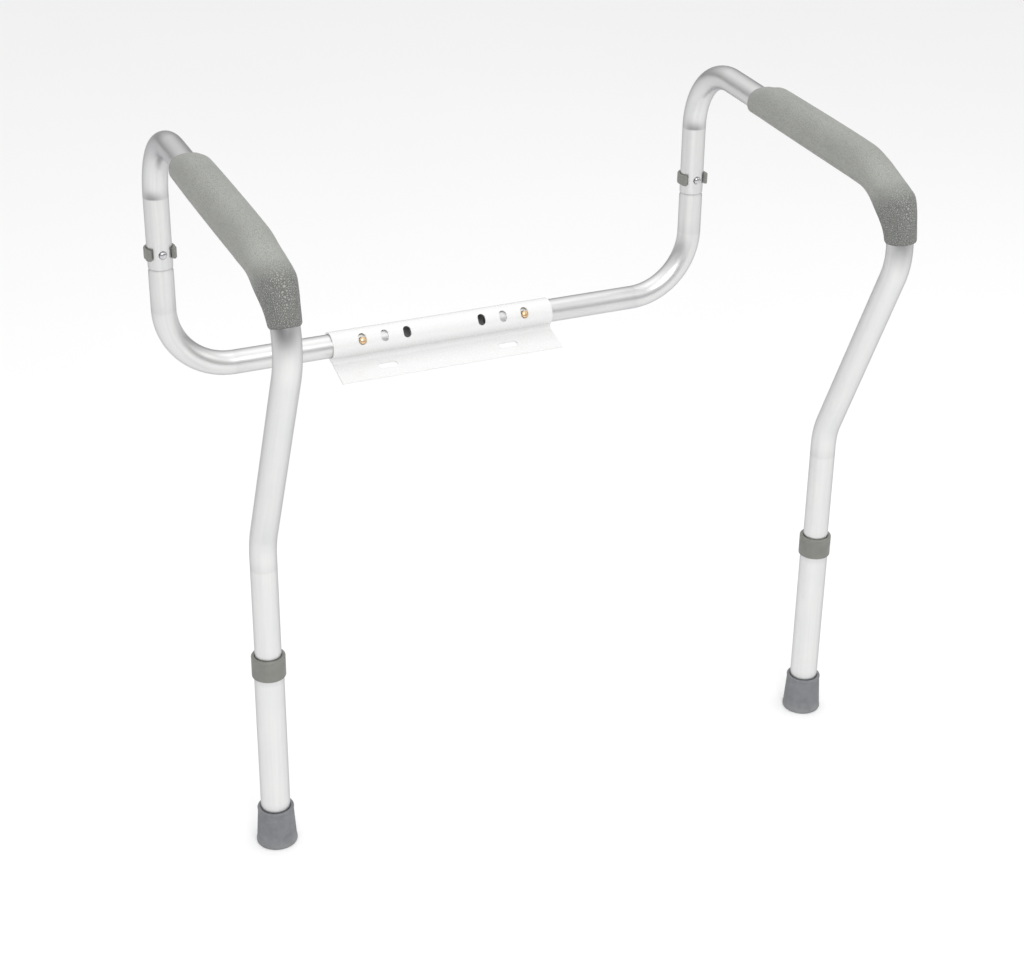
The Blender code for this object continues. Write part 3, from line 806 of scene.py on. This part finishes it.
def make_joint_clip(side, x, material):
    """A springy moulded C round the back of the joint, with thick rounded ends by the button."""
    middle = Vector((x, REAR_Y, JOINT_BUTTON_Z))
    inner_r = TUBE_R + FIT
    sweep = 2 * math.pi - 2 * CLIP_HALF_OPENING
    steps = 96
    ease = CLIP_EASE
    rings = []
    for step in range(-PAST_END_RINGS, steps + PAST_END_RINGS + 1):
        share = min(max(step / steps, 0), 1)
        past_end = max(-step, step - steps, 0) / PAST_END_RINGS
        lip = math.sqrt(max(0, 1 - sweep * min(share, 1 - share) / CLIP_LIP_REACH))
        thickness = CLIP_THICKNESS + CLIP_LIP * min(1, lip * 1.4)
        inset = ease * (1 - math.sqrt(1 - past_end**2))
        overhang = past_end * ease * 0.7 / inner_r
        angle = CLIP_HALF_OPENING + sweep * share + math.copysign(overhang, step - steps / 2)
        outward = FORWARD * math.cos(angle) + ACROSS * math.sin(angle)
        near, far = inset + ease, thickness - inset - ease
        up = CLIP_HEIGHT / 2 - inset - ease
        corners = [((far, up), 0), ((near, up), 90), ((near, -up), 180), ((far, -up), 270)]
        section = []
        for centre, start in corners:
            for r, z in arc(centre, ease, start, start + 90, 4):
                section.append(middle + outward * (inner_r + r) + UP * z)
        rings.append(section)
    return finish_mesh(skin(rings), f"{side}_joint_clip_moulded", material, 40)


# --- armrest pad -------------------------------------------------------------


def pad_sizes(distance):
    """Half width, height over the tube's axis, depth under it and squareness, along the pad."""
    knots = [
        (0.000, 0.0184, 0.0146, 0.0132, 2.45),
        (0.012, 0.0186, 0.0180, 0.0131, 2.4),
        (0.022, 0.0188, 0.0213, 0.0131, 2.35),
        (0.028, 0.0189, 0.0220, 0.0131, 2.35),
        (0.060, 0.0192, 0.0224, 0.0131, 2.35),
        (0.130, 0.0191, 0.0229, 0.0131, 2.35),
        (0.184, 0.0187, 0.0226, 0.0131, 2.35),
        (0.195, 0.0186, 0.0212, 0.0132, 2.4),
        (0.207, 0.0183, 0.0174, 0.0134, 2.45),
        (0.218, 0.0181, 0.0142, 0.0137, 2.5),
        (0.230, 0.0181, 0.0136, 0.0142, 2.6),
        (0.242, 0.0181, 0.0168, 0.0145, 2.8),
        (0.250, 0.0176, 0.0206, 0.0144, 2.9),
        (0.260, 0.0164, 0.0186, 0.0141, 2.8),
        (0.272, 0.0150, 0.0162, 0.0138, 2.5),
        (PAD_LENGTH, 0.0140, 0.0158, 0.0134, 2.3),
    ]
    return curve_through(knots, distance)


def eased_lip(from_end, radius):
    """How far a rounded rim is drawn in at a distance from the pad's end."""
    past = 1 - min(max(from_end / radius, 0), 1)
    return radius * (1 - math.sqrt(1 - past * past))


def make_arm_pad(side, x, material):
    """The foam sleeve: a rounded section that follows the tube, deep on top and thin below."""
    corners = arm_corners(x)
    stations = trace(corners, ARM_BENDS)
    start = distance_at(stations, pad_start_point(side, corners))
    count = 128
    steps = 220
    rings = []
    places = []
    for step in range(steps + 1):
        share = step / steps
        ahead = PAD_LENGTH * (share - 0.012 * math.sin(2 * math.pi * share))  # closer at the ends
        point, heading = station_at(stations, start + ahead)
        *sizes, exponent = pad_sizes(ahead)
        power = 2 / exponent  # an exponent of 2 is an ellipse, more is squarer
        inset = eased_lip(ahead, PAD_REAR_LIP) + eased_lip(PAD_LENGTH - ahead, PAD_FRONT_LIP)
        half_width, top, bottom = [max(size - inset, PAD_BORE_R + PAD_THINNEST) for size in sizes]
        lift = heading.cross(ACROSS)
        outline = []
        for i in range(count):
            angle = 2 * math.pi * i / count
            cos, sin = math.cos(angle), math.sin(angle)
            wide = half_width * math.copysign(abs(cos) ** power, cos)
            high = (top if sin > 0 else bottom) * math.copysign(abs(sin) ** power, sin)
            outline.append(point + ACROSS * wide + lift * high)
            places += [PAD_SKIN_R * cos, PAD_SKIN_R * sin, ahead]
        rings.append(outline)
    bore_steps = 60
    for step in range(bore_steps, -1, -1):
        ahead = PAD_LENGTH * step / bore_steps
        point, heading = station_at(stations, start + ahead)
        rings.append(ring(point, heading, ACROSS, PAD_BORE_R, count))
        places += [PAD_SKIN_R, 0, ahead] * count
    obj = finish_mesh(skin(rings, closed=True), f"{side}_arm_pad_foam", material, 60)
    pad_place = obj.data.attributes.new("pad_place", "FLOAT_VECTOR", "POINT")
    pad_place.data.foreach_set("vector", places)
    return obj


# --- snap buttons ------------------------------------------------------------


def width_button_direction():
    """The way a width button points: forward and up."""
    return FORWARD * math.cos(WIDTH_BUTTON_ANGLE) + UP * math.sin(WIDTH_BUTTON_ANGLE)


def button_seat(bore_radius):
    """How far out the top of a button's flange lies, inside the tube."""
    return math.sqrt((bore_radius - FIT) ** 2 - BUTTON_FLANGE_R**2)


def make_button(name, centre, direction, bore_radius, outer_radius, material):
    """A domed pin on a thin flange that stays inside the tube."""
    seat = button_seat(bore_radius)
    top = outer_radius + BUTTON_RISE
    ease = 0.0002
    dome_steps = 14
    profile = [
        (BUTTON_FLANGE_R - ease, seat - BUTTON_FLANGE),
        (BUTTON_FLANGE_R, seat - BUTTON_FLANGE + ease),
        (BUTTON_FLANGE_R, seat - ease),
        (BUTTON_FLANGE_R - ease, seat),
        (BUTTON_R + ease, seat),
        (BUTTON_R, seat + ease),
    ]
    for step in range(dome_steps + 1):
        slope = math.radians(86 * step / dome_steps)
        height = top - BUTTON_DOME + BUTTON_DOME * math.sin(slope)
        profile.append((BUTTON_R * math.cos(slope), height))
    side = ACROSS if abs(direction.x) < 0.5 else UP
    bm = skin(turned(centre, direction, side, profile, 48))
    return finish_mesh(bm, name, material)


def make_spring(name, centre, direction, along, bore_radius, material):
    """A leaf folded to a V inside the tube, under the button."""
    near = button_seat(bore_radius) - BUTTON_FLANGE - FIT - SPRING_THICKNESS / 2
    far = math.sqrt((bore_radius - FIT) ** 2 - (SPRING_WIDTH / 2) ** 2) - SPRING_THICKNESS / 2
    corners = [
        (-SPRING_BEHIND, near),
        (SPRING_FLAT, near),
        (SPRING_LENGTH, SPRING_FOLD / 2),
        (SPRING_LENGTH, -SPRING_FOLD / 2),
        (-SPRING_HEEL, -far),
    ]
    points = [centre + along * s + direction * r for s, r in corners]
    width_axis = direction.cross(along)
    ease = SPRING_EASE
    half, thick = SPRING_WIDTH / 2, SPRING_THICKNESS / 2
    outline = [
        (half, ease - thick), (half, thick - ease), (half - ease, thick), (ease - half, thick),
        (-half, thick - ease), (-half, ease - thick), (ease - half, -thick), (half - ease, -thick),
    ]
    rings = []
    for point, heading, _ in trace(points, (SPRING_BEND_R, SPRING_FOLD_R, SPRING_FOLD_R)):
        lift = width_axis.cross(heading)
        rings.append([point + width_axis * across + lift * up for across, up in outline])
    spring = finish_mesh(skin(rings), name, material)
    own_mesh(spring)
    return spring


# --- the bracket -------------------------------------------------------------


def bracket_section():
    """The outline of sleeve and plate, and its round stretches as (centre, radius).

    Points are (down the plate, out of the plate) from the sleeve's axis.
    """
    top = PLATE_THICKNESS - SLEEVE_R
    nose = PLATE_THICKNESS / 2
    nose_centre = (PLATE_DEPTH - nose, nose - SLEEVE_R)
    fillet_rise = top + PLATE_FILLET_R
    fillet_centre = (math.sqrt((SLEEVE_R + PLATE_FILLET_R) ** 2 - fillet_rise**2), fillet_rise)
    toward_sleeve = math.degrees(math.atan2(fillet_centre[1], fillet_centre[0]))
    outline = [
        *arc(nose_centre, nose, -90, 90, 10),
        *arc(fillet_centre, PLATE_FILLET_R, 270, 180 + toward_sleeve, 10),
        *arc((0, 0), SLEEVE_R, toward_sleeve, 270, 80)[1:],
    ]
    rounds = [((0, 0), SLEEVE_R), (nose_centre, nose), (fillet_centre, PLATE_FILLET_R)]
    return outline, rounds


def make_bracket(material):
    axis = Vector((0, REAR_Y, REAR_BAR_Z))
    down = FORWARD * math.cos(PLATE_SLOPE) - UP * math.sin(PLATE_SLOPE)
    out = FORWARD * math.sin(PLATE_SLOPE) + UP * math.cos(PLATE_SLOPE)
    outline, rounds = bracket_section()
    ends = [
        [axis + ACROSS * x + down * u + out * w for u, w in outline]
        for x in (-BRACKET_HALF, BRACKET_HALF)
    ]
    bracket = finish_mesh(skin(ends), "seat_bracket_formed", material)

    reach = 0.2  # past both ends of the sleeve
    bore = [ring(axis + ACROSS * x, ACROSS, UP, SLEEVE_BORE_R) for x in (-reach, reach)]
    cut(bracket, skin(bore))
    outward = FORWARD * math.cos(WIDTH_SLOT_ANGLE) + UP * math.sin(WIDTH_SLOT_ANGLE)
    slots = bmesh.new()
    for sign in (-1, 1):
        bolt = axis + down * BOLT_SLOT_AT - out * SLEEVE_R + ACROSS * sign * BOLT_SPACING / 2
        stadium(slots, bolt, ACROSS, out, *BOLT_SLOT, SLOT_CUT_DEPTH)
        for slot in range(WIDTH_SLOTS):
            shift = ACROSS * sign * (WIDTH_BUTTON_X - slot * HOLE_PITCH)
            centre = axis + shift + outward * SLEEVE_R
            stadium(slots, centre, ACROSS.cross(outward), outward, *WIDTH_SLOT, SLOT_CUT_DEPTH)
    cut(bracket, slots)

    tolerance = 0.00005
    mesh = bracket.data

    def section_normal(vertex, flat):
        if abs(flat.x) > 0.1:  # the sleeve's ends and the ends of its slots
            return None
        offset = mesh.vertices[vertex].co - axis
        u, w = offset.dot(down), offset.dot(out)
        for (centre_u, centre_w), radius in [*rounds, ((0, 0), SLEEVE_BORE_R)]:
            radial = Vector((u - centre_u, w - centre_w))
            if abs(radial.length - radius) < tolerance:
                normal = (down * radial.x + out * radial.y).normalized()
                if abs(normal.dot(flat)) > 0.97:
                    return normal * math.copysign(1, normal.dot(flat))
        return None

    set_normals(mesh, section_normal)
    return bracket


# --- assembly ----------------------------------------------------------------


def show(piece, body, node):
    """The piece rides on its body and stands for its CAD node, which is hidden."""
    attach(piece, body)
    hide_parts(node)


def make_side(side, sign, finishes):
    x = sign * HALF_WIDTH
    width_centre = Vector((sign * WIDTH_BUTTON_X, REAR_Y, REAR_BAR_Z))
    joint_centre = Vector((x, REAR_Y, JOINT_BUTTON_Z))
    leg_centre = Vector((x, LEG_Y, LEG_BUTTON_Z))
    show(make_rear_tube(side, x, finishes["tube"]), f"{side}_rear", f"{side}_rear_tube")
    show(make_arm_tube(side, x, finishes["tube"]), f"{side}_arm", f"{side}_arm_tube")
    show(make_leg_tube(side, x, finishes["leg"]), f"{side}_leg", f"{side}_leg_tube")
    show(make_joint_clip(side, x, finishes["clip"]), f"{side}_arm", f"{side}_joint_clip")
    collar = make_leg_collar(side, x, finishes["collar"])
    show(collar, f"{side}_leg", f"{side}_leg_collar")
    show(make_foot_tip(side, x, finishes["tip"]), f"{side}_leg", f"{side}_foot_tip")
    washer = make_foot_washer(side, x, finishes["spring"])
    show(washer, f"{side}_leg", f"{side}_foot_washer")
    pad = make_arm_pad(side, x, finishes["pad"])
    show(pad, f"{side}_arm", f"{side}_arm_pad")
    buttons = [
        ("width", "rear", width_centre, width_button_direction(), ACROSS * sign, TUBE_BORE_R,
         SLEEVE_R, "brass"),
        ("joint", "rear", joint_centre, FORWARD, UP, PLUG_BORE_R, TUBE_R, "chrome"),
        ("leg", "arm", leg_centre, -FORWARD, UP, TUBE_BORE_R, LEG_R, "chrome"),
    ]
    for kind, host, centre, direction, along, bore_radius, outer_radius, slot in buttons:
        node = f"{side}_{kind}_button"
        button = make_button(f"{node}_domed", centre, direction, bore_radius, outer_radius,
                             finishes[slot])
        show(button, node, node)
        spring = make_spring(f"{side}_{kind}_spring_leaf", centre, direction, along, bore_radius,
                             finishes["spring"])
        show(spring, f"{side}_{host}", f"{side}_{kind}_spring")


def make_object():
    finishes = {
        "tube": satin_aluminium("satin_aluminium", 0.72),
        "leg": satin_aluminium("satin_leg_aluminium", 0.74),
        "bracket": white_enamel(),
        "pad": pebbled_foam(),
        "clip": moulded_plastic("clip_plastic", (0.20, 0.20, 0.185), (0.24, 0.24, 0.225)),
        "collar": moulded_plastic("collar_plastic", (0.172, 0.172, 0.158), (0.205, 0.205, 0.188)),
        "tip": grey_rubber(),
        "brass": bright_metal("brass", (0.84, 0.60, 0.36), (0.62, 0.42, 0.24), 0.26),
        "chrome": bright_metal("chrome", (0.60, 0.60, 0.62), (0.46, 0.46, 0.48), 0.12),
        "spring": bright_metal("spring_steel", (0.50, 0.50, 0.52), (0.38, 0.38, 0.39), 0.32),
    }
    show(make_bracket(finishes["bracket"]), "bracket", "bracket")
    make_side("left", -1, finishes)
    make_side("right", 1, finishes)


# --- floor, light and camera -------------------------------------------------


def make_floor():
    half = 60
    corners = [(-half, -half, 0), (half, -half, 0), (half, half, 0), (-half, half, 0)]
    bm = bmesh.new()
    bm.faces.new([bm.verts.new(corner) for corner in corners])
    finish = Finish("studio_floor", (0.9, 0.9, 0.9), 0.6)
    cloud = finish.noise(finish.place(), 1.5, detail=2)
    finish.colour(finish.mix(finish.spread(cloud, 0, 1), (0.895,) * 3, (0.905,) * 3))
    finish_mesh(bm, "studio_floor", finish.material)


def add_light(name, location, target, size, power):
    light = bpy.data.lights.new(name, "AREA")
    light.shape = "RECTANGLE"
    light.size, light.size_y = size
    light.energy = power
    obj = bpy.data.objects.new(name, light)
    obj.location = location
    obj.rotation_euler = (Vector(target) - Vector(location)).to_track_quat("-Z", "Y").to_euler()
    bpy.context.scene.collection.objects.link(obj)


def make_light():
    """A sky that lights the object, behind a plain pale wall for the camera, and three lamps."""
    world = bpy.data.worlds.new("studio")
    world.use_nodes = True
    tree = world.node_tree
    background = tree.nodes["Background"]
    place = tree.nodes.new("ShaderNodeTexCoord")
    split = tree.nodes.new("ShaderNodeSeparateXYZ")
    ramp = tree.nodes.new("ShaderNodeValToRGB")
    while len(ramp.color_ramp.elements) < len(SKY):
        ramp.color_ramp.elements.new(0.5)
    for element, (position, grey) in zip(ramp.color_ramp.elements, SKY):
        element.position = position
        element.color = (grey, grey, grey, 1)
    tree.links.new(place.outputs["Generated"], split.inputs[0])
    tree.links.new(split.outputs["Z"], ramp.inputs["Fac"])
    backdrop = tree.nodes.new("ShaderNodeMix")
    backdrop.data_type = "RGBA"
    seen = tree.nodes.new("ShaderNodeLightPath").outputs["Is Camera Ray"]
    tree.links.new(seen, backdrop.inputs[0])
    tree.links.new(ramp.outputs["Color"], backdrop.inputs[6])
    backdrop.inputs[7].default_value = (WALL_GREY, WALL_GREY, WALL_GREY, 1)
    tree.links.new(backdrop.outputs[2], background.inputs["Color"])
    background.inputs["Strength"].default_value = SKY_STRENGTH
    bpy.context.scene.world = world
    middle = (0, 0, 0.3)
    add_light("key", (-0.5, -1.8, 2.0), (0, -0.4, 0.1), size=(1.6, 1.2), power=26)
    add_light("fill", (1.9, -0.9, 1.5), middle, size=(1.4, 1.4), power=4)
    add_light("top", (0.2, 0.5, 2.6), middle, size=(2.2, 1.6), power=5)


def make_camera():
    """The camera looks down on the frame from in front of its left corner."""
    level = math.cos(CAMERA_ELEVATION)
    back = Vector((math.sin(CAMERA_AZIMUTH) * level, -math.cos(CAMERA_AZIMUTH) * level,
                   math.sin(CAMERA_ELEVATION)))
    right = UP.cross(back).normalized()
    turn = Matrix((right, back.cross(right), back)).transposed().to_4x4()
    lens = bpy.data.cameras.new("camera")
    lens.lens = FOCAL_LENGTH
    camera = bpy.data.objects.new("camera", lens)
    place = Matrix.Translation(CAMERA_LOOKS_AT + back * CAMERA_DISTANCE)
    camera.matrix_world = place @ turn @ Matrix.Rotation(CAMERA_ROLL, 4, "Z")
    bpy.context.scene.collection.objects.link(camera)
    bpy.context.scene.camera = camera


make_object()
make_floor()
make_light()
make_camera()
bpy.context.scene.view_settings.view_transform = "Standard"
